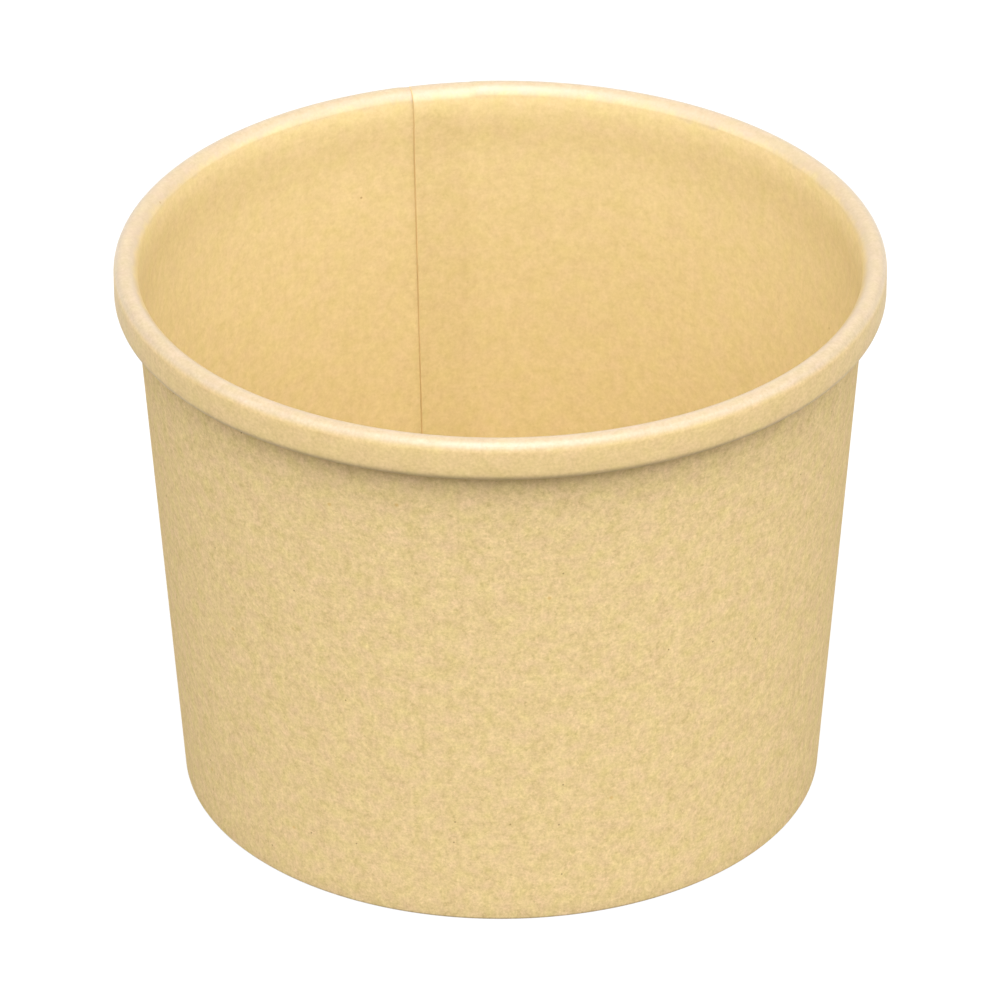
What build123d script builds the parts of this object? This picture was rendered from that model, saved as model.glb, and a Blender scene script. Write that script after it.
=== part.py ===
"""Paper soup cup of plain kraft board: a tapered sidewall with a rolled rim, and a base disc locked into its foot.

Each piece is a single sheet of coated board, so each is one solid with the board's own section.
The sidewall is a fan-shaped blank wrapped round the axis, and its two ends lap at the glued side seam.
Its top edge is rolled outwards into the rim, and its bottom edge is folded inwards and up, round the disc's skirt.
Where the ends lap, both plies run on together through the rim roll, the wall and the fold at the foot.
The product face of the board is the coated one, which holds the soup. The print face is the other one.

Sizes are in millimetres and angles in degrees. The axis is Z, the cup stands on Z = 0 and the side seam is on +Y.
"""

import os
from dataclasses import dataclass
from math import acos, atan2, copysign, cos, degrees, hypot, radians, sin, tan

from build123d import *

# The cup over all
rim_diameter = 98.0  # over the roll
base_diameter = 82.5  # outside of the wall, at the table
height = 73.7  # from the table to the crest of the rim
board = 0.40  # thickness of the board

# The rolled rim
roll_width = 2.8  # across the crest, over both product faces
roll_height = 5.5  # from the crest to the underside of the roll
roll_tail = 2.5  # how far the free edge runs up inside the roll
roll_gap = 0.15  # between that tail and the wall

# The side seam
seam_angle = 90.0  # where the middle of the lap is, from +X
lap_angle = 9.1  # from one end of the blank to the other
joggle_angle = 2.0  # over which a ply steps by its own thickness
pressed_board = 0.30  # thickness of each ply where the seam is pressed

# The foot
floor_height = 8.0  # from the table to the product face of the floor
hem_height = 6.5  # from the table to the folded edge inside the foot
fold_radius = 0.05  # product face of the fold, at the crease
floor_radius = 1.0  # product face of the disc, where the floor turns down into the skirt
skirt_clearance = 0.10  # under the skirt's edge, where the fold is two plies thick
seat_gap = 0.03  # glue line on each side of the skirt

# What follows from them
rim_radius = rim_diameter / 2
base_radius = base_diameter / 2
plain_crest_radius = roll_width / 2


def wall_lean():
    """The wall's angle off upright, with which it meets the foot at the base and the rim roll at the crest."""
    run = rim_radius - plain_crest_radius - base_radius
    rise = height - plain_crest_radius
    return degrees(acos((plain_crest_radius - board) / hypot(run, rise)) - atan2(rise, run))


lean = wall_lean()
lean_sin, lean_cos, lean_tan = sin(radians(lean)), cos(radians(lean)), tan(radians(lean))
foot_radius = base_radius - board / lean_cos  # the wall's product face, run down to the table


def wall_radius(z, inwards=0.0):
    """Radius of the wall's product face at height z, or of a face that lies that far inwards of it."""
    return foot_radius + z * lean_tan - inwards / lean_cos


def from_wall(r, z):
    """How far a point lies outwards of the wall's product face, square to it."""
    return (r - wall_radius(z)) * lean_cos


def board_section(start, heading, moves, thickness):
    """Section of a board, as a face in the XZ plane, walked from one cut edge to the other along the product face.

    The product face is on the left. A move is (length, 0), or (radius of the product face, turn), left turns positive.
    """
    product_face, print_face = [], []
    point = Vector(*start)
    for size, turn in moves:
        way = Vector(cos(radians(heading)), sin(radians(heading)))
        through = Vector(way.Y, -way.X) * thickness
        if turn:
            print_radius = size + copysign(thickness, turn)
            product_face.append(JernArc(point, way, size, turn))
            print_face.append(JernArc(point + through, way, print_radius, turn))
        else:
            product_face.append(Line(point, point + way * size))
            print_face.append(Line(point + through, point + through + way * size))
        point = product_face[-1] @ 1
        heading += turn
    first_cut = Line(product_face[0] @ 0, print_face[0] @ 0)
    last_cut = Line(product_face[-1] @ 1, print_face[-1] @ 1)
    return Plane.XZ * make_face([*product_face, last_cut, *print_face, first_cut])


@dataclass
class Ply:
    """Where one ply of the sidewall runs. Each distance is from where the plain wall, away from the seam, has it."""

    thickness: float = board
    wall_inwards: float = 0.0
    roll_inset: float = 0.0
    tail_outwards: float = 0.0
    fold_lift: float = 0.0
    hem_inwards: float = 0.0


plain_ply = Ply()
# The end of the blank that shows inside the cup. The other end is nested against its print face all the way.
inner_ply = Ply(pressed_board, wall_inwards=pressed_board, fold_lift=pressed_board, hem_inwards=pressed_board)
outer_ply = Ply(
    pressed_board, roll_inset=pressed_board, tail_outwards=pressed_board, hem_inwards=2 * pressed_board
)


def sidewall_section(ply):
    """The sheet from its hem, round the fold, up the wall, over the rim and into the roll."""
    fold = fold_radius + (ply.hem_inwards - ply.wall_inwards) / 2
    fold_level = ply.thickness + ply.fold_lift
    hem_inwards = board + 2 * seat_gap + ply.hem_inwards
    hem_foot = fold_level + fold * (1 + lean_sin)
    wall_foot = fold_level + fold * (1 - lean_sin)

    crest = height - ply.roll_inset
    underside = height - roll_height + ply.roll_inset
    roll_face = rim_radius - ply.roll_inset
    tail_outwards = board + roll_gap + ply.tail_outwards
    # Each bend of the roll touches its level, the roll's upright outer face, and the wall or the tail.
    crest_radius = (from_wall(roll_face, crest) + ply.wall_inwards) / (1 + lean_cos - lean_sin)
    under_radius = (from_wall(roll_face, underside) - tail_outwards) / (1 + lean_cos + lean_sin)
    wall_head = crest - crest_radius * (1 - lean_sin)

    moves = [
        ((hem_height - hem_foot) / lean_cos, 0),
        (fold, 90 + lean),
        ((hem_inwards - ply.wall_inwards - 2 * fold) / lean_cos, 0),
        (fold, 90 - lean),
        ((wall_head - wall_foot) / lean_cos, 0),
        (crest_radius, lean - 180),
        (crest - crest_radius - under_radius - underside, 0),
        (under_radius, -lean - 180),
        (roll_tail, 0),
    ]
    hem_end = (wall_radius(hem_height, hem_inwards), hem_height)
    return board_section(hem_end, 270 - lean, moves, ply.thickness)


skirt_end = board + pressed_board + skirt_clearance  # height of the skirt's edge above the table
skirt_head = floor_height - floor_radius * (1 + lean_sin)


def floor_end(skirt_inwards):
    """Radius at which the flat of the floor ends and the bend into the skirt begins."""
    return wall_radius(skirt_head, seat_gap + skirt_inwards) - floor_radius * lean_cos


plate_radius = floor_end(pressed_board) - floor_radius  # the floor inside this is one plain plate


def base_section(skirt_inwards):
    """The rim of the disc: the floor's edge, its bend and the skirt, which steps inwards past the side seam."""
    moves = [
        (floor_end(skirt_inwards) - plate_radius, 0),
        (floor_radius, -lean - 90),
        ((skirt_head - skirt_end) / lean_cos, 0),
    ]
    return board_section((plate_radius, floor_height), 0, moves, board)


# The stations of the seam: each ply joggles in its own span, and both run side by side in the lap between them.
lap_start = seam_angle - lap_angle / 2
lap_end = seam_angle + lap_angle / 2
before_lap = lap_start - joggle_angle
past_lap = lap_end + joggle_angle


def turned(section, first_angle, last_angle):
    """The section carried round the axis from one angle to the other."""
    return revolve(Rot(Z=first_angle) * section, Axis.Z, last_angle - first_angle)


def joggled(first_section, first_angle, last_section, last_angle):
    """A ply that steps from one section to the other between two angles."""
    return loft([Rot(Z=first_angle) * first_section, Rot(Z=last_angle) * last_section], ruled=True)


def sidewall():
    """The wrapped blank, glued to itself along the side seam."""
    plain = sidewall_section(plain_ply)
    inner = sidewall_section(inner_ply)
    outer = sidewall_section(outer_ply)
    seam = turned(inner, lap_start, lap_end) + turned(outer, lap_start, lap_end)
    seam += joggled(plain, before_lap, inner, lap_start)
    seam += joggled(outer, lap_end, plain, past_lap)
    return seam + turned(plain, past_lap, before_lap + 360)


def base_disc():
    """The floor of the cup, with its skirt turned down between the wall and the hem."""
    plain = base_section(0)
    stepped = base_section(pressed_board)
    disc = Pos(Z=floor_height) * Cylinder(plate_radius, board, align=(Align.CENTER, Align.CENTER, Align.MAX))
    disc += turned(plain, past_lap, before_lap + 360)
    disc += joggled(plain, before_lap, stepped, lap_start)
    disc += turned(stepped, lap_start, lap_end)
    disc += joggled(stepped, lap_end, plain, past_lap)
    return disc


os.makedirs("parts", exist_ok=True)
for name, piece in (("sidewall", sidewall()), ("base_disc", base_disc())):
    export_step(piece, f"parts/{name}.step")
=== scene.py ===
"""Looks of a paper soup cup of kraft board, on a plain pale floor.

The sidewall and the base disc are each one sheet of board. Each is made from its own section: its product
face is carried round the axis, gets its thickness, and is then pressed to shape. Lengths are in metres.
"""

from math import acos, atan2, cos, hypot, isclose, pi, radians, sin, tan

import bmesh
import bpy
from bpy.props import FloatProperty, FloatVectorProperty, PointerProperty
from bpy.types import Operator, Panel, PropertyGroup
from mathutils import Matrix, Vector


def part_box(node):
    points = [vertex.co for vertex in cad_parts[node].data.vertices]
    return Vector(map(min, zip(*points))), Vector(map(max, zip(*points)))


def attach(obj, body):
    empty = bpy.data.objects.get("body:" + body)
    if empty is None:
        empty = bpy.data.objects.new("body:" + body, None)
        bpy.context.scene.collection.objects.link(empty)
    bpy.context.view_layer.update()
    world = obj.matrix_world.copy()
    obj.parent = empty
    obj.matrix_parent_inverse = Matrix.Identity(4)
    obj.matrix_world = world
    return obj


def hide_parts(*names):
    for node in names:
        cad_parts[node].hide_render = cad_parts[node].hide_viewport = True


bl_info = {
    "name": "Kraft soup cup",
    "version": (1, 0, 0),
    "blender": (4, 5, 0),
    "location": "View3D > Sidebar > Soup cup",
    "description": "Wraps, presses and finishes a kraft board soup cup",
    "category": "Mesh",
}

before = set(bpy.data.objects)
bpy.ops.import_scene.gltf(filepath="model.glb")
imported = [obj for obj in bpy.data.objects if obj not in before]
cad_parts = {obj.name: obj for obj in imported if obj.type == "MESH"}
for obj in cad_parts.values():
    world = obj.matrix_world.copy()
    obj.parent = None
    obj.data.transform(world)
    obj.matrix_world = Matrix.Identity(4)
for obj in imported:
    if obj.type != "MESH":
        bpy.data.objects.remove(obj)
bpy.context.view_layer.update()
SIDEWALL_LOW, SIDEWALL_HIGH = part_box("sidewall")
DISC_LOW, DISC_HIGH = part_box("base_disc")

MM = 0.001
FULL_TURN = 2 * pi

# How the sheets are laid out and divided
SEAM_ANGLE = radians(90)  # where the middle of the lap is, from +X
SHEET = "sheet"  # the UV map: where a point is on the flat sheet, in metres
SHEET_RADIUS = 44 * MM  # of the wall, at which the wrapped sheet is laid out flat
PRODUCT_FACE, PRINT_FACE, RAW_EDGE = 0, 1, 2  # the material slots of a board
LAP_STEPS = 36  # round each end of the blank, where it steps and laps
WALL_STEPS = 320  # round the rest of the blank
DISC_STEPS = 360  # round the base disc
LAP_MARGIN = 1.5  # joggles past the lap, where its finer steps end
MERGE_DISTANCE = 0.001 * MM

# Where the press changes the sidewall. Each pair is where a change is still nothing, and where it is whole.
ROLLING = (-1.5 * MM, 0.5 * MM)  # up the sheet from the crest's start: the seam is rolled flat
FLARE_UP = (64 * MM, 71 * MM)  # above the table: the wall leans in
FLARE_DOWN = (0.2 * MM, 2.4 * MM)  # below the top of the crest: the wall leans in
CREASE_REACH = 0.5 * MM  # of the printed ridge, above and below its middle

# Where the finish of the product face changes, in such pairs. All but the last are up the sheet from the
# crest's start, and one with END in its name is where the change dies out again.
RIM_TONE = (1.2 * MM, 3 * MM)
# The crest's colour lies between these pairs. It is partly the pressed film's own paler tone and partly
# painted sheen.
PALE_AND_PAINTED_SHEEN, PALE_AND_PAINTED_SHEEN_END = (-0.4 * MM, 1.2 * MM), (4.3 * MM, 3.2 * MM)
BURNISHED, BURNISHED_END = (-1 * MM, 0.5 * MM), (4.2 * MM, 3.4 * MM)
LAP_END = (0.0, -2 * MM)
LAP_START = (-0.5 * MM, 0.7 * MM)  # along the sheet from where the ply behind it ends

# How the board's tone varies
MIDDLE = 0.5  # of a noise, which runs from about 0 to 1
NOISE_ROUGHNESS = 0.55  # how much of each finer layer a noise keeps
BARE_CELLS = 0.9  # the share of cells that hold no speck
FADING = (0.84, 0.95, 1.3)  # how much of a change of tone the board's red, green and blue each take
DRIFTING = (0.22, -0.24, 1.0)  # how much of a drift towards pink they each take
RELIEF = 0.03 * MM  # the height of the fibres

# The studio
WHITE = (1.0, 1.0, 1.0, 1.0)
FLOOR_RADIUS = 12.0
FLOOR_SIDES = 96
SENSOR_WIDTH = 36.0  # of the camera, in millimetres
CLIP_START, CLIP_END = 0.01, 100.0
# Each soft lamp's height, how far right of the camera it is, and how wide it is: degrees, seen from the cup
LAMPS = {
    "top_lamp": (74, 0, 40),
    "front_lamp": (46, 0, 42),
    "left_lamp": (40, -68, 60),
    "right_lamp": (40, 68, 60),
}


def length(name, description, default):
    """A length that a user may change."""
    return FloatProperty(name=name, description=description, default=default, unit="LENGTH", precision=5)


def angle(name, description, default):
    """An angle that a user may change, given here in degrees."""
    return FloatProperty(
        name=name, description=description, default=radians(default), unit="ROTATION", subtype="ANGLE"
    )


def share(name, description, default):
    """A number from 0 to 1 that a user may change."""
    return FloatProperty(
        name=name, description=description, default=default, min=0, max=1, subtype="FACTOR"
    )


def strength(name, description, default):
    """How strong a lamp is."""
    return FloatProperty(name=name, description=description, default=default, min=0)


def colour(name, description, default):
    """A linear colour that a user may change."""
    return FloatVectorProperty(
        name=name, description=description, default=default, size=3, min=0, max=1, subtype="COLOR"
    )


class CupSizes(PropertyGroup):
    """The cup over all, its rolled rim and its foot."""

    rim_diameter: length("Rim diameter", "Over the rolled rim", SIDEWALL_HIGH.x - SIDEWALL_LOW.x)
    height: length("Height", "From the table to the crest of the rim", SIDEWALL_HIGH.z)
    base_diameter: length("Base diameter", "Outside of the wall, at the table", 82.5 * MM)
    board: length("Board", "Thickness of the board", 0.40 * MM)
    roll_width: length("Roll width", "Across the crest of the rim", 2.8 * MM)
    roll_height: length("Roll height", "From the crest to the underside of the roll", 5.5 * MM)
    roll_tail: length("Roll tail", "How far the free edge runs up inside the roll", 2.5 * MM)
    roll_gap: length("Roll gap", "Between the tail and the wall", 0.15 * MM)
    flare: length("Flare", "How far the wall leans in under the crest, to turn gently into it", 0.4 * MM)
    floor_height: length("Floor height", "From the table to the top of the floor", DISC_HIGH.z)
    floor_sag: length("Floor sag", "How far the middle of the floor hangs down", 0.15 * MM)
    hem_height: length("Hem height", "From the table to the folded edge inside the foot", 6.5 * MM)
    fold_radius: length("Fold radius", "Product face of the fold, at the crease", 0.05 * MM)
    floor_radius: length("Floor radius", "Where the floor turns down into the skirt", 1.0 * MM)
    skirt_end: length("Skirt end", "Height of the skirt's edge above the table", DISC_LOW.z)
    seat_gap: length("Seat gap", "Glue line on each side of the skirt", 0.03 * MM)


class SeamSizes(PropertyGroup):
    """The side seam, where the two ends of the blank lap."""

    lap: angle("Lap", "From one end of the blank to the other", 9.1)
    joggle: angle("Joggle", "Over which a ply steps by its own thickness", 2.0)
    pressed_board: length("Pressed board", "Thickness of each ply in the lap", 0.30 * MM)
    rim_step: length("Rim step", "How far the cut end stands proud where the rim is rolled", 0.09 * MM)
    glue_line: length("Glue line", "Between the two plies of the lap", 0.01 * MM)
    skive: length("Skive", "How far a cut end slants back", 0.12 * MM)
    cut_rounding: length("Cut rounding", "Rounding of a cut edge", 0.03 * MM)
    crease: length("Crease", "Height of the ridge that the roll prints on the lap", 0.06 * MM)


class BoardColours(PropertyGroup):
    """The kraft board, outside, inside and along its cut edges."""

    outside: colour("Outside", "Uncoated print face", (0.77, 0.577, 0.284))
    inside: colour("Inside", "Coated product face", (0.64, 0.5, 0.25))
    rim: colour("Rim", "Coated product face where it is rolled", (0.69, 0.51, 0.245))
    # The crest colour is partly painted light: paler and greyer for the sheen along the crest, and darker
    # so that the lamps' highlight on it stays cream.
    crest: colour("Crest", "Coated product face where rolling has pressed it hard", (0.47, 0.36, 0.223))
    cut: colour("Cut edge", "Raw fibres in the thickness of the board", (0.62, 0.45, 0.22))
    fleck: colour("Fleck", "Bark and darker fibres", (0.33, 0.19, 0.07))
    shive: colour("Shive", "Orange splinters of wood", (0.66, 0.38, 0.10))
    drift: share("Drift", "How far the hue wanders between pink and green", 0.12)


class StudioSizes(PropertyGroup):
    """Where the camera stands, and how bright the lamps are."""

    distance: length("Camera distance", "From the middle of the cup", 1.15139)
    focal_length: FloatProperty(
        name="Focal length", description="On a sensor 36 mm wide", default=321.937, unit="CAMERA"
    )
    elevation: angle("Elevation", "Of the camera above the middle of the cup", 29.954)
    seam_turn: angle("Seam turn", "How far the seam is turned off the middle of the back", 9.85)
    pitch: angle("Pitch", "Of the camera, downwards", -0.0374)
    yaw: angle("Yaw", "Of the camera, to the right", -0.0066)
    roll: angle("Roll", "Of the camera", -0.1672)
    top_lamp: strength("Top lamp", "Strength of the soft lamp high above the cup", 1.5)
    front_lamp: strength("Front lamp", "Strength of the soft lamp near the camera", 1.5)
    left_lamp: strength("Left lamp", "Strength of the soft lamp at the left", 1.38)
    right_lamp: strength("Right lamp", "Strength of the soft lamp at the right", 1.65)
    sky: share("Sky", "Brightness of the surroundings", 0.53)
    floor: share("Floor", "How much of the light the floor sends back", 0.12)


class Wall:
    """The plain sidewall's product face: a cone from the foot to the start of the rim's crest."""

    def __init__(self, cup):
        crest_radius = cup.roll_width / 2
        run = cup.rim_diameter / 2 - crest_radius - cup.base_diameter / 2
        rise = cup.height - crest_radius
        self.lean = acos((crest_radius - cup.board) / hypot(run, rise)) - atan2(rise, run)
        self.sin, self.cos, self.tan = sin(self.lean), cos(self.lean), tan(self.lean)
        self.foot = cup.base_diameter / 2 - cup.board / self.cos

    def radius(self, z, inwards=0.0):
        """Radius of the product face at height z, or of a face that lies that far inwards of it."""
        return self.foot + z * self.tan - inwards / self.cos

    def beyond(self, r, z):
        """How far a point lies outwards of the product face, square to it."""
        return (r - self.radius(z)) * self.cos


class Lap:
    """The side seam. The sheet runs from the outer ply's cut end, once round, to the inner ply's."""

    def __init__(self, seam):
        self.start = SEAM_ANGLE - seam.lap / 2
        self.end = SEAM_ANGLE + seam.lap / 2
        self.joggle = seam.joggle
        self.sheet_end = self.end + FULL_TURN

    def outer_share(self, turned):
        """1 where the sheet is the lap's outer ply, 0 where it is the plain wall."""
        return 1 - smooth_step(turned, self.end, self.end + self.joggle)

    def inner_share(self, turned):
        """1 where the sheet is the lap's inner ply, 0 where it is the plain wall."""
        start = self.start + FULL_TURN
        return smooth_step(turned, start - self.joggle, start)


class Ply:
    """Where one ply of the sidewall runs. Each distance is from where the plain wall has it."""

    def __init__(
        self, thickness, wall_inwards=0.0, roll_inset=0.0, tail_outwards=0.0, fold_lift=0.0, hem_inwards=0.0
    ):
        self.thickness = thickness
        self.wall_inwards = wall_inwards
        self.roll_inset = roll_inset
        self.tail_outwards = tail_outwards
        self.fold_lift = fold_lift
        self.hem_inwards = hem_inwards


class Station:
    """One place in a board's section: its point on each face, and how far up the sheet it is."""

    def __init__(self, point, heading, thickness, up):
        self.faces = (point, point + Vector((sin(heading), -cos(heading))) * thickness)
        self.up = up


def smooth_step(value, low, high):
    """0 up to low, 1 from high on, and a soft rise between them."""
    t = min(max((value - low) / (high - low), 0.0), 1.0)
    return t * t * (3 - 2 * t)


def bump(value, middle, reach):
    """1 at the middle, and softly down to 0 at that reach on each side of it."""
    return smooth_step(reach - abs(value - middle), 0.0, reach)


def walked(start, heading, moves, thickness):
    """Stations of a section, walked from one cut edge to the other with the product face on the left.

    A move is (length, 0, steps), or (radius of the product face, turn, steps), left turns positive.
    """
    point, up = Vector(start), 0.0
    stations = [Station(point, heading, thickness, up)]
    for size, turn, steps in moves:
        bend = turn / steps
        stride = 2 * size * sin(abs(bend) / 2) if turn else size / steps
        for _ in range(steps):
            way = heading + bend / 2
            heading += bend
            point = point + Vector((cos(way), sin(way))) * stride
            up += stride
            stations.append(Station(point, heading, thickness, up))
    return stations


def sidewall_stations(cup, wall, ply, glue_line=0.0):
    """The sheet from its hem, round the fold, up the wall, over the rim and into the roll."""
    fold = cup.fold_radius + (ply.hem_inwards - ply.wall_inwards) / 2
    fold_level = ply.thickness + ply.fold_lift
    hem_inwards = cup.board + 2 * cup.seat_gap + ply.hem_inwards
    hem_foot = fold_level + fold * (1 + wall.sin)
    wall_foot = fold_level + fold * (1 - wall.sin)

    crest = cup.height - ply.roll_inset
    underside = cup.height - cup.roll_height + ply.roll_inset
    roll_face = cup.rim_diameter / 2 - ply.roll_inset
    tail_outwards = cup.board + cup.roll_gap + ply.tail_outwards
    crest_radius = (wall.beyond(roll_face, crest) + ply.wall_inwards) / (1 + wall.cos - wall.sin)
    under_radius = (wall.beyond(roll_face, underside) - tail_outwards) / (1 + wall.cos + wall.sin)
    wall_head = crest - crest_radius * (1 - wall.sin)

    moves = [
        ((cup.hem_height - hem_foot) / wall.cos, 0, 4),  # down the hem
        (fold, pi / 2 + wall.lean, 5),
        ((hem_inwards - ply.wall_inwards - 2 * fold) / wall.cos, 0, 2),  # outwards along the table
        (fold, pi / 2 - wall.lean, 5),
        ((wall_head - wall_foot) / wall.cos, 0, 30),  # up the wall
        (crest_radius, wall.lean - pi, 20),
        (crest - crest_radius - under_radius - underside, 0, 3),  # down the outside of the roll
        (under_radius, -wall.lean - pi, 14),
        (cup.roll_tail, 0, 3),  # up inside the roll
    ]
    hem_end = (wall.radius(cup.hem_height, hem_inwards), cup.hem_height)
    return walked(hem_end, 3 * pi / 2 - wall.lean, moves, ply.thickness - glue_line)


def disc_stations(cup, wall):
    """The plain disc from its centre, over the bend and down the skirt."""
    skirt_head = cup.floor_height - cup.floor_radius * (1 + wall.sin)
    flat_end = wall.radius(skirt_head, cup.seat_gap) - cup.floor_radius * wall.cos
    moves = [
        (flat_end, 0, 18),
        (cup.floor_radius, -wall.lean - pi / 2, 10),
        ((skirt_head - cup.skirt_end) / wall.cos, 0, 4),
    ]
    return walked((0.0, cup.floor_height), 0.0, moves, cup.board)


def crest_of(cup, stations):
    """How far up the sheet the wall ends and the crest of the rim begins."""
    wall_top = cup.height - cup.roll_width / 2
    return next(station.up for station in stations if station.faces[PRODUCT_FACE].y > wall_top)


def unrolled(turned, up):
    """Where a point of the wrapped blank is on the flat sheet: how far along it, and how far up."""
    return turned * SHEET_RADIUS, up


def unpressed(turned, up):
    """Where a point of the base disc is on the flat sheet, from its centre."""
    return up * cos(turned), up * sin(turned)


def placed(name, data):
    """A new object in the scene."""
    item = bpy.data.objects.new(name, data)
    bpy.context.scene.collection.objects.link(item)
    return item


class Board:
    """A sheet of board under the press: its mesh, and each vertex's station and angle round the axis."""

    def __init__(self, stations, start):
        self.mesh = bmesh.new()
        self.station = self.mesh.verts.layers.int.new("station")
        self.turned = self.mesh.verts.layers.float.new("turned")
        self.stations = stations
        chain = []
        for index, station in enumerate(stations):
            r, z = station.faces[PRODUCT_FACE]
            vertex = self.mesh.verts.new((r * cos(start), r * sin(start), z))
            vertex[self.station] = index
            vertex[self.turned] = start
            chain.append(vertex)
        self.cut_end = chain + [self.mesh.edges.new(pair) for pair in zip(chain, chain[1:])]

    def carry(self, first, last, steps):
        """Carries the sheet on round the axis, from one angle to another."""
        before = set(self.mesh.verts)
        step = (last - first) / steps
        full = isclose(last - first, FULL_TURN)
        result = bmesh.ops.spin(
            self.mesh, geom=self.cut_end, axis=(0, 0, 1), angle=last - first, steps=steps, use_merge=full
        )
        self.cut_end = result["geom_last"]
        for vertex in set(self.mesh.verts) - before:
            past_first = (atan2(vertex.co.y, vertex.co.x) - first - step / 2) % FULL_TURN
            vertex[self.turned] = first + step / 2 + past_first

    def thicken(self):
        """Makes the product face a closed board, and remembers which vertices are on its print face."""
        bmesh.ops.recalc_face_normals(self.mesh, faces=self.mesh.faces)
        product_faces = set(self.mesh.faces)
        result = bmesh.ops.extrude_face_region(self.mesh, geom=self.mesh.faces[:], use_keep_orig=True)
        print_faces = {item for item in result["geom"] if isinstance(item, bmesh.types.BMFace)}
        self.print_vertices = {item for item in result["geom"] if isinstance(item, bmesh.types.BMVert)}
        for face in self.mesh.faces:
            face.smooth = True
            face.material_index = RAW_EDGE
            if face in product_faces:
                face.material_index = PRODUCT_FACE
            if face in print_faces:
                face.material_index = PRINT_FACE

    def press(self, place):
        """Puts each vertex where place(station, turned, side) has it: an angle, a radius and a height."""
        for vertex in self.mesh.verts:
            side = PRINT_FACE if vertex in self.print_vertices else PRODUCT_FACE
            turned, r, z = place(vertex[self.station], vertex[self.turned], side)
            vertex.co = (r * cos(turned), r * sin(turned), z)
        bmesh.ops.recalc_face_normals(self.mesh, faces=self.mesh.faces)

    def lay_out(self, flat):
        """The UV map: where flat(turned, up) has each corner on the flat sheet."""
        layer = self.mesh.loops.layers.uv.new(SHEET)
        for face in self.mesh.faces:
            for loop in face.loops:
                loop[layer].uv = flat(loop.vert[self.turned], self.stations[loop.vert[self.station]].up)

    def round_cuts(self, width):
        """Rounds the board's cut edges, where its faces meet the raw fibres."""
        edges = [
            edge for edge in self.mesh.edges if len({face.material_index for face in edge.link_faces}) == 2
        ]
        bmesh.ops.bevel(
            self.mesh, geom=edges, offset=width, affect="EDGES", segments=2, profile=0.5, material=-1
        )

    def finish(self, name, slot, replaced, materials):
        """Makes the board an object in the frame, with its materials in the order of its faces."""
        if self.mesh.calc_volume(signed=True) <= 0:
            raise RuntimeError(f"the board of {name} is inside out")
        mesh = bpy.data.meshes.new(name)
        self.mesh.to_mesh(mesh)
        self.mesh.free()
        for material in materials:
            mesh.materials.append(material)
        piece = placed(name, mesh)
        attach(piece, "root")
        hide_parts(replaced)


class Value:
    """A number or colour on a node's socket, so that shader maths on numbers reads as plain Python."""

    def __init__(self, nodes, socket):
        self.nodes = nodes
        self.socket = socket

    def __add__(self, other):
        return self.nodes.maths("ADD", self, other)

    def __radd__(self, other):
        return self.nodes.maths("ADD", other, self)

    def __sub__(self, other):
        return self.nodes.maths("SUBTRACT", self, other)

    def __rsub__(self, other):
        return self.nodes.maths("SUBTRACT", other, self)

    def __mul__(self, other):
        return self.nodes.maths("MULTIPLY", self, other)

    def __rmul__(self, other):
        return self.nodes.maths("MULTIPLY", other, self)

    def __abs__(self):
        return self.nodes.maths("ABSOLUTE", self)

    def above(self, low, high):
        """0 up to low, 1 from high on, and a soft rise between them. High may be the lower of the two."""
        ends = {"Value": self, "From Min": low, "From Max": high}
        return self.nodes.add("ShaderNodeMapRange", {"interpolation_type": "SMOOTHSTEP"}, ends)


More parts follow.
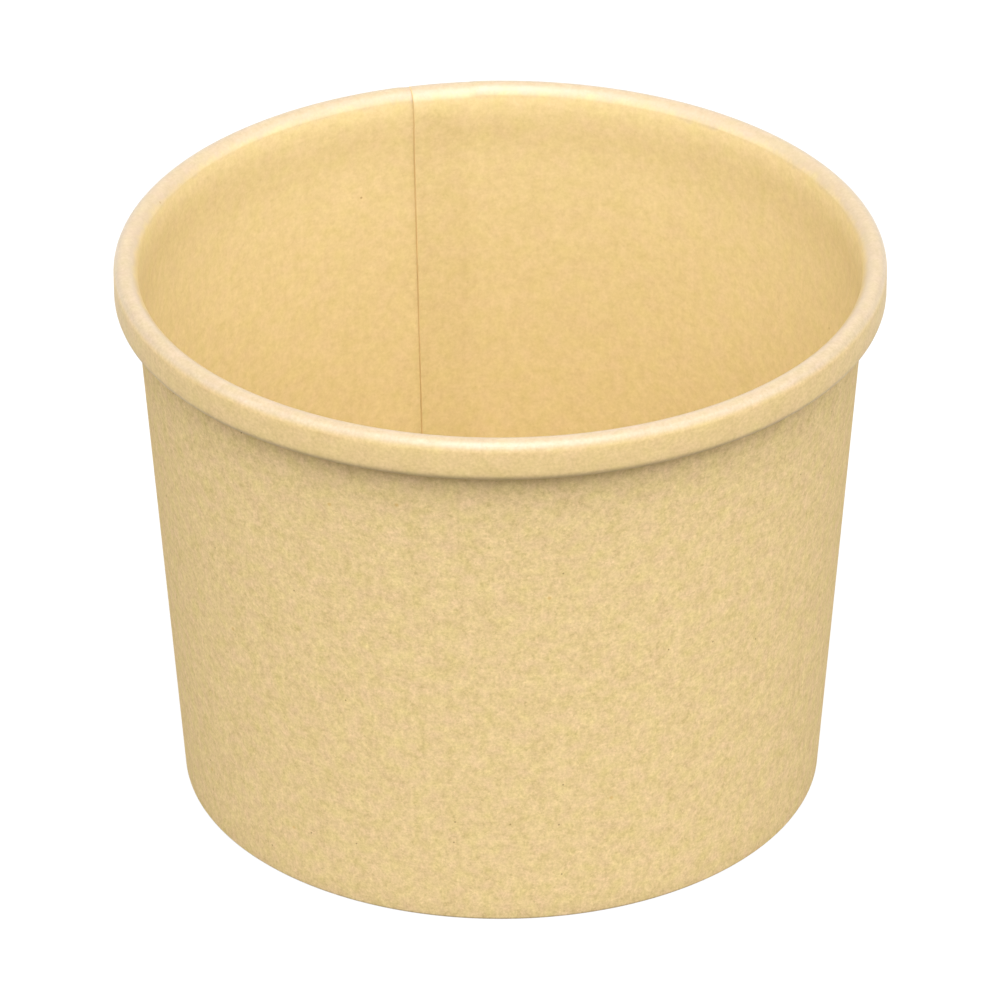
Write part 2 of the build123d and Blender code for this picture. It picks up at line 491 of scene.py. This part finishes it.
class Nodes:
    """A node tree under construction. Every node comes from add."""

    def __init__(self, tree):
        self.tree = tree
        tree.nodes.clear()

    def add(self, kind, settings=None, values=None, output=0):
        """A node with its settings, then with its sockets' values or links. Returns one of its outputs."""
        node = self.tree.nodes.new(kind)
        for name, setting in (settings or {}).items():
            setattr(node, name, setting)
        for key, value in (values or {}).items():
            if isinstance(value, Value):
                self.tree.links.new(value.socket, node.inputs[key])
            else:
                node.inputs[key].default_value = value
        return Value(self, node.outputs[output]) if node.outputs else node

    def maths(self, operation, *operands):
        """One Math node on these numbers."""
        return self.add("ShaderNodeMath", {"operation": operation}, dict(enumerate(operands)))

    def vector_maths(self, operation, *operands):
        """One Vector Math node on these vectors or colours."""
        return self.add("ShaderNodeVectorMath", {"operation": operation}, dict(enumerate(operands)))

    def part(self, vector, index):
        """One of a vector's three numbers."""
        return self.add("ShaderNodeSeparateXYZ", None, {0: vector}, index)

    def shifted(self, place, shift):
        """The place moved, so that a pattern shows another part of itself."""
        return self.vector_maths("ADD", place, (shift, shift, 0))

    def noise(self, place, size, shift, detail=2.0):
        """Soft noise from about 0 to 1, whose lumps are about that size, with finer layers on them."""
        sockets = {
            "Vector": self.shifted(place, shift),
            "Scale": 1 / size,
            "Detail": detail,
            "Roughness": NOISE_ROUGHNESS,
        }
        return self.add("ShaderNodeTexNoise", {"noise_dimensions": "2D"}, sockets)

    def fibres(self, place, spacing, width, shift):
        """Short wandering lines, 1 on a fibre: where one noise crosses its middle, broken up by another."""
        from_line = abs(self.noise(place, spacing, shift, detail=1.0) - MIDDLE)
        unbroken = self.noise(place, 1.3 * spacing, shift + 1.7, detail=1.0)
        return from_line.above(width / spacing, 0) * unbroken.above(MIDDLE, MIDDLE + 0.1)

    def specks(self, place, spacing, radius, shift):
        """Round spots, 1 on a speck, in a few of the cells that lie this far apart."""
        settings = {"voronoi_dimensions": "2D", "feature": "F1"}
        squeezed = self.vector_maths("MULTIPLY", place, (1 / spacing, 1 / spacing, 1))
        sockets = {"Vector": self.shifted(squeezed, shift), "Scale": 1.0}
        distance = self.add("ShaderNodeTexVoronoi", settings, sockets)
        chance = self.part(self.add("ShaderNodeTexVoronoi", settings, sockets, 1), 0)
        edge = radius / spacing
        return distance.above(edge, 0.5 * edge) * chance.above(BARE_CELLS, BARE_CELLS + 0.001)

    def mixed(self, share_of_second, first, second):
        """One colour over another."""
        settings = {"data_type": "RGBA", "blend_type": "MIX"}
        return self.add("ShaderNodeMix", settings, {0: share_of_second, 6: first, 7: second}, 2)

    def tinted(self, linear, factor):
        """A colour made lighter and paler, or darker and richer, by a number."""
        change = self.add("ShaderNodeVectorMath", {"operation": "SCALE"}, {0: FADING, "Scale": factor - 1})
        return self.vector_maths("MULTIPLY", linear, self.vector_maths("ADD", change, (1, 1, 1)))

    def drifting(self, linear, place, size, reach, shift):
        """A colour whose hue wanders between pink and green, in patches of about that size."""
        pink = paint(1 + part * reach for part in DRIFTING)
        green = paint(1 - part * reach for part in DRIFTING)
        hue = self.mixed(self.noise(place, size, shift, detail=1.0), pink, green)
        return self.vector_maths("MULTIPLY", linear, hue)

    def show(self, shader, output="ShaderNodeOutputMaterial"):
        """Ends the tree in this shader."""
        self.add(output, None, {"Surface": shader})

    def show_board(self, finish, relief, strength):
        """Ends the tree in a board's surface, with its finish and a relief that shows this strongly."""
        bumps = {"Strength": strength, "Distance": RELIEF, "Height": relief}
        normal = self.add("ShaderNodeBump", None, bumps)
        self.show(self.add("ShaderNodeBsdfPrincipled", None, {**finish, "Normal": normal}))


def paint(linear):
    """A colour for a socket."""
    return (*linear, 1.0)


def toned(*patterns):
    """A tone that each pattern changes by its own amount, and that is 1 where all are at their middle."""
    return sum((amount * (pattern - MIDDLE) for pattern, amount in patterns), 1)


def new_material(name):
    """An empty material and its nodes."""
    material = bpy.data.materials.new(name)
    material.use_nodes = True
    return material, Nodes(material.node_tree)


def print_face_finish(colours):
    """Uncoated kraft: matt, clouded and grainy, with fibres, bark flecks and a few orange splinters."""
    material, nodes = new_material("kraft print face")
    place = nodes.add("ShaderNodeUVMap", {"uv_map": SHEET})
    clouds = nodes.noise(place, 3 * MM, shift=3.1)
    blotches = nodes.noise(place, 0.9 * MM, shift=5.3)
    grain = nodes.noise(place, 0.35 * MM, shift=7.9)
    fine_grain = nodes.noise(place, 0.19 * MM, shift=9.4, detail=1.0)
    pale_fibres = nodes.fibres(place, spacing=0.8 * MM, width=0.05 * MM, shift=11.3)
    dark_fibres = nodes.fibres(place, spacing=0.9 * MM, width=0.045 * MM, shift=17.7)
    bark = nodes.specks(place, spacing=7 * MM, radius=0.16 * MM, shift=2.3)
    splinters = nodes.specks(place, spacing=9 * MM, radius=0.3 * MM, shift=8.1)

    tone = toned((clouds, 0.20), (blotches, 0.37), (grain, 0.37), (fine_grain, 0.12))
    tone = tone + 0.07 * pale_fibres - 0.12 * dark_fibres
    board = nodes.tinted(tuple(colours.outside), tone)
    board = nodes.drifting(board, place, size=2.2 * MM, reach=colours.drift, shift=14.2)
    flecked = nodes.mixed(0.75 * bark, board, paint(colours.fleck))
    finish = {
        "Base Color": nodes.mixed(0.5 * splinters, flecked, paint(colours.shive)),
        "Roughness": 0.8 + 0.1 * (grain - MIDDLE),
        "Specular IOR Level": 0.15,
    }
    nodes.show_board(finish, relief=blotches + 0.8 * grain + 0.5 * pale_fibres, strength=0.35)
    return material


def product_face_finish(colours, crest_up, lap_along):
    """Coated kraft: softer and warmer under a thin film, which the rolling of the rim burnishes.

    The rim's crest starts at crest_up, up the sheet. The lap starts at lap_along, along the sheet, and is a
    little darker.
    """
    material, nodes = new_material("kraft product face")
    place = nodes.add("ShaderNodeUVMap", {"uv_map": SHEET})
    along, up = nodes.part(place, 0), nodes.part(place, 1)
    clouds = nodes.noise(place, 4 * MM, shift=23.1)
    blotches = nodes.noise(place, 1.1 * MM, shift=25.3)
    grain = nodes.noise(place, 0.4 * MM, shift=27.9)
    film = nodes.noise(place, 1.5 * MM, shift=37.7)
    dark_fibres = nodes.fibres(place, spacing=0.9 * MM, width=0.04 * MM, shift=31.3)
    bark = nodes.specks(place, spacing=12 * MM, radius=0.2 * MM, shift=12.3)

    def zone(measured, origin, ends):
        """Where a measure has come from the first of these ends to the second, both from the origin."""
        return measured.above(*(origin + end for end in ends))

    ragged = up + 1.2 * MM * (blotches - MIDDLE) + 1.5 * MM * (clouds - MIDDLE)
    rolled = zone(up, crest_up, RIM_TONE)
    # The crest colour is laid here. It is partly the film's own tone and partly painted sheen.
    pale = zone(ragged, crest_up, PALE_AND_PAINTED_SHEEN) * zone(up, crest_up, PALE_AND_PAINTED_SHEEN_END)
    burnished = zone(up, crest_up, BURNISHED) * zone(up, crest_up, BURNISHED_END)
    lapped = zone(along, lap_along, LAP_START) * zone(up, crest_up, LAP_END)

    tone = toned((clouds, 0.10), (blotches, 0.23), (grain, 0.18 + 0.17 * rolled))
    tone = tone - 0.05 * dark_fibres - 0.045 * lapped
    plain = nodes.mixed(rolled, paint(colours.inside), paint(colours.rim))
    board = nodes.tinted(nodes.mixed(pale, plain, paint(colours.crest)), tone)
    board = nodes.drifting(board, place, size=2.6 * MM, reach=0.65 * colours.drift, shift=29.6)
    finish = {
        "Base Color": nodes.mixed(0.7 * bark, board, paint(colours.fleck)),
        "Roughness": 0.5 + 0.12 * (film - MIDDLE),
        "Coat Weight": 0.15 + 0.85 * burnished,
        "Specular IOR Level": 0.2,
        "Coat Roughness": 0.34,
        "Coat IOR": 1.57,
    }
    nodes.show_board(finish, relief=film + 0.5 * grain, strength=0.2)
    return material


def raw_edge_finish(colours):
    """The board's thickness where it was cut: darker, with layers of fibres."""
    material, nodes = new_material("kraft cut edge")
    place = nodes.add("ShaderNodeTexCoord", output="Object")
    layers = nodes.noise(place, 0.25 * MM, shift=41.3)
    finish = {
        "Base Color": nodes.tinted(tuple(colours.cut), toned((layers, 0.5))),
        "Roughness": 0.9,
    }
    nodes.show_board(finish, relief=layers, strength=0.4)
    return material


def board_materials(scene):
    """The materials of a board, in the order of its material slots. They are made once."""
    names = ("kraft product face", "kraft print face", "kraft cut edge")
    if all(name in bpy.data.materials for name in names):
        return [bpy.data.materials[name] for name in names]
    cup, seam, colours = scene.cup_sizes, scene.seam_sizes, scene.board_colours
    crest_up = crest_of(cup, sidewall_stations(cup, Wall(cup), Ply(cup.board)))
    lap_along = (Lap(seam).sheet_end - seam.lap) * SHEET_RADIUS
    product_face = product_face_finish(colours, crest_up, lap_along)
    return [product_face, print_face_finish(colours), raw_edge_finish(colours)]


def seen_directly(nodes):
    """1 for a ray from the camera, a mirror or glass, and 0 for one that carries light."""
    camera, glossy, through = (
        nodes.add("ShaderNodeLightPath", output=f"Is {kind} Ray")
        for kind in ("Camera", "Glossy", "Transmission")
    )
    return nodes.maths("MAXIMUM", nodes.maths("MAXIMUM", camera, glossy), through)


def rotation(turn, axis):
    """A turn about one axis, as a matrix."""
    return Matrix.Rotation(turn, 4, axis)


class WrapSidewall(Operator):
    """Wraps the blank round the cup, with its rolled rim, its folded foot and its lapped side seam"""

    bl_idname = "soup_cup.wrap_sidewall"
    bl_label = "Wrap sidewall"

    def execute(self, context):
        cup, seam = context.scene.cup_sizes, context.scene.seam_sizes
        wall, lap = Wall(cup), Lap(seam)
        pressed = seam.pressed_board
        inner_ply = Ply(pressed, wall_inwards=pressed, fold_lift=pressed, hem_inwards=pressed)
        outer_ply = Ply(pressed, roll_inset=pressed, tail_outwards=pressed, hem_inwards=2 * pressed)
        plain = sidewall_stations(cup, wall, Ply(cup.board))
        inner = sidewall_stations(cup, wall, inner_ply, seam.glue_line)
        outer = sidewall_stations(cup, wall, outer_ply)
        crest_up = crest_of(cup, plain)
        rolled = [smooth_step(station.up, *(crest_up + end for end in ROLLING)) for station in plain]
        flattened = 1 - seam.rim_step / pressed
        crest_centre = cup.rim_diameter / 2 - cup.roll_width / 2
        underside = cup.height - cup.roll_height

        def place(index, turned, side):
            # The two plies of the lap. The roll presses them flat, but for the rim step.
            inner_share, outer_share = lap.inner_share(turned), lap.outer_share(turned)
            flat_share = flattened * rolled[index]
            outer_share *= 1 - flat_share * smooth_step(turned, lap.end - lap.joggle, lap.end)
            point = plain[index].faces[side]
            point = point + (inner[index].faces[side] - plain[index].faces[side]) * inner_share
            point = point + (outer[index].faces[side] - plain[index].faces[side]) * outer_share
            if side == PRINT_FACE and rolled[index]:
                at_end = smooth_step(turned, lap.sheet_end - lap.joggle, lap.sheet_end)
                through = inner[index].faces[PRODUCT_FACE] - inner[index].faces[PRINT_FACE]
                point = point + through * (flat_share * at_end)
            # The wall leans in under the crest, and the roll prints its ridge on the lap.
            r, z = point
            if r < crest_centre:
                r -= cup.flare * smooth_step(cup.height - z, *FLARE_DOWN) * smooth_step(z, *FLARE_UP)
            if side == PRODUCT_FACE and inner_share and r < crest_centre:
                in_lap = smooth_step(turned, lap.sheet_end - seam.lap, lap.sheet_end)
                r -= seam.crease * bump(z, underside, CREASE_REACH) * in_lap
            # The cut ends slant back.
            slant = seam.skive / r
            if side == PRODUCT_FACE and turned > lap.sheet_end - slant:
                turned -= slant
            if side == PRINT_FACE and turned < lap.start + slant:
                turned += slant
            return turned, r, z

        sheet = Board(plain, lap.start)
        fine_end = lap.end + LAP_MARGIN * lap.joggle
        fine_start = lap.start + FULL_TURN - LAP_MARGIN * lap.joggle
        sheet.carry(lap.start, fine_end, LAP_STEPS)
        sheet.carry(fine_end, fine_start, WALL_STEPS)
        sheet.carry(fine_start, lap.sheet_end, LAP_STEPS)
        sheet.thicken()
        sheet.press(place)
        sheet.lay_out(unrolled)
        sheet.round_cuts(seam.cut_rounding)
        sheet.finish("wrapped_sidewall", "kraft_board", "sidewall", board_materials(context.scene))
        return {"FINISHED"}


class PressBaseDisc(Operator):
    """Presses the base disc, whose skirt is held between the wall and the hem"""

    bl_idname = "soup_cup.press_base_disc"
    bl_label = "Press base disc"

    def execute(self, context):
        cup, seam = context.scene.cup_sizes, context.scene.seam_sizes
        wall = Wall(cup)
        stations = disc_stations(cup, wall)
        rim = stations[-1].faces[PRODUCT_FACE].x
        stepping_in = (rim - 6 * cup.floor_radius, rim - 3 * cup.floor_radius)
        levelling_out = (0.2 * rim, rim - 4 * cup.floor_radius)

        def place(index, turned, side):
            r, z = stations[index].faces[side]
            from_seam = abs((turned - SEAM_ANGLE + pi) % FULL_TURN - pi)
            stepped = 1 - smooth_step(from_seam, seam.lap / 2, seam.lap / 2 + seam.joggle)
            r -= seam.pressed_board / wall.cos * stepped * smooth_step(r, *stepping_in)
            z -= cup.floor_sag * (1 - smooth_step(r, *levelling_out))
            return turned, r, z

        disc = Board(stations, SEAM_ANGLE)
        disc.carry(SEAM_ANGLE, SEAM_ANGLE + FULL_TURN, DISC_STEPS)
        bmesh.ops.remove_doubles(disc.mesh, verts=disc.mesh.verts, dist=MERGE_DISTANCE)
        disc.thicken()
        disc.press(place)
        disc.lay_out(unpressed)
        disc.round_cuts(seam.cut_rounding)
        disc.finish("pressed_base_disc", "base_board", "base_disc", board_materials(context.scene))
        return {"FINISHED"}


class SetStage(Operator):
    """Sets the floor, the lamps, the surroundings and the camera"""

    bl_idname = "soup_cup.set_stage"
    bl_label = "Set stage"

    def execute(self, context):
        studio, cup = context.scene.studio_sizes, context.scene.cup_sizes
        self.lay_floor(studio)
        for name, place in LAMPS.items():
            self.hang_lamp(name, studio, *map(radians, place))
        self.light_sky(context.scene, studio)
        self.stand_camera(context.scene, studio, cup)
        context.scene.view_settings.view_transform = "Standard"
        return {"FINISHED"}

    def lay_floor(self, studio):
        """A wide pale floor, which looks white from the camera and still takes the cup's shadow."""
        mesh = bpy.data.meshes.new("floor")
        bm = bmesh.new()
        bmesh.ops.create_circle(bm, cap_ends=True, segments=FLOOR_SIDES, radius=FLOOR_RADIUS)
        bm.to_mesh(mesh)
        bm.free()
        material, nodes = new_material("pale floor")
        pale = nodes.add("ShaderNodeBsdfDiffuse", None, {"Color": paint((studio.floor,) * 3)})
        seen = seen_directly(nodes) * (1 - studio.floor)
        glow = nodes.add("ShaderNodeEmission", None, {"Color": WHITE, "Strength": seen})
        nodes.show(nodes.add("ShaderNodeAddShader", None, {0: pale, 1: glow}))
        mesh.materials.append(material)
        floor = placed("floor", mesh)

    def hang_lamp(self, name, studio, elevation, aside, spread):
        """A soft lamp on the camera's side of the cup, so high, so far to the right and so wide."""
        light = bpy.data.lights.new(name, "SUN")
        light.energy = getattr(studio, name)
        light.angle = spread
        aim = rotation(aside - studio.seam_turn, "Z") @ rotation(pi / 2 - elevation, "X")
        placed(name, light).rotation_euler = aim.to_euler()

    def light_sky(self, scene, studio):
        """Even pale surroundings, which are white where they are seen directly or in a reflection."""
        world = bpy.data.worlds.new("surroundings")
        world.use_nodes = True
        nodes = Nodes(world.node_tree)
        brightness = studio.sky + (1 - studio.sky) * seen_directly(nodes)
        sky = nodes.add("ShaderNodeBackground", None, {"Color": WHITE, "Strength": brightness})
        nodes.show(sky, "ShaderNodeOutputWorld")
        scene.world = world

    def stand_camera(self, scene, studio, cup):
        """The camera, aimed at the middle of the cup but for its small pitch, yaw and roll."""
        data = bpy.data.cameras.new("camera")
        data.sensor_width = SENSOR_WIDTH
        data.lens = studio.focal_length
        data.clip_start, data.clip_end = CLIP_START, CLIP_END
        middle = Matrix.Translation((0, 0, cup.height / 2))
        back, up = studio.distance * cos(studio.elevation), studio.distance * sin(studio.elevation)
        aim = (
            rotation(-studio.yaw, "Z")
            @ rotation(pi / 2 - studio.elevation - studio.pitch, "X")
            @ rotation(studio.roll, "Z")
        )
        camera = placed("camera", data)
        turn = rotation(-studio.seam_turn, "Z")
        camera.matrix_world = turn @ middle @ Matrix.Translation((0, -back, up)) @ aim
        scene.camera = camera


class SoupCupPanel(Panel):
    """The cup's pieces, sizes and colours in the sidebar"""

    bl_idname = "VIEW3D_PT_soup_cup"
    bl_label = "Soup cup"
    bl_space_type = "VIEW_3D"
    bl_region_type = "UI"
    bl_category = "Soup cup"

    def draw(self, context):
        for operator in (WrapSidewall, PressBaseDisc, SetStage):
            self.layout.operator(operator.bl_idname)
        for name in GROUPS:
            box = self.layout.box()
            group = getattr(context.scene, name)
            for key in group.__annotations__:
                box.prop(group, key)


GROUPS = {
    "cup_sizes": CupSizes,
    "seam_sizes": SeamSizes,
    "board_colours": BoardColours,
    "studio_sizes": StudioSizes,
}
CLASSES = (*GROUPS.values(), WrapSidewall, PressBaseDisc, SetStage, SoupCupPanel)


def register():
    for item in CLASSES:
        bpy.utils.register_class(item)
    for name, group in GROUPS.items():
        setattr(bpy.types.Scene, name, PointerProperty(type=group))


def unregister():
    for name in GROUPS:
        delattr(bpy.types.Scene, name)
    for item in reversed(CLASSES):
        bpy.utils.unregister_class(item)


def main():
    register()
    bpy.ops.soup_cup.wrap_sidewall()
    bpy.ops.soup_cup.press_base_disc()
    bpy.ops.soup_cup.set_stage()


if __name__ == "__main__":
    main()
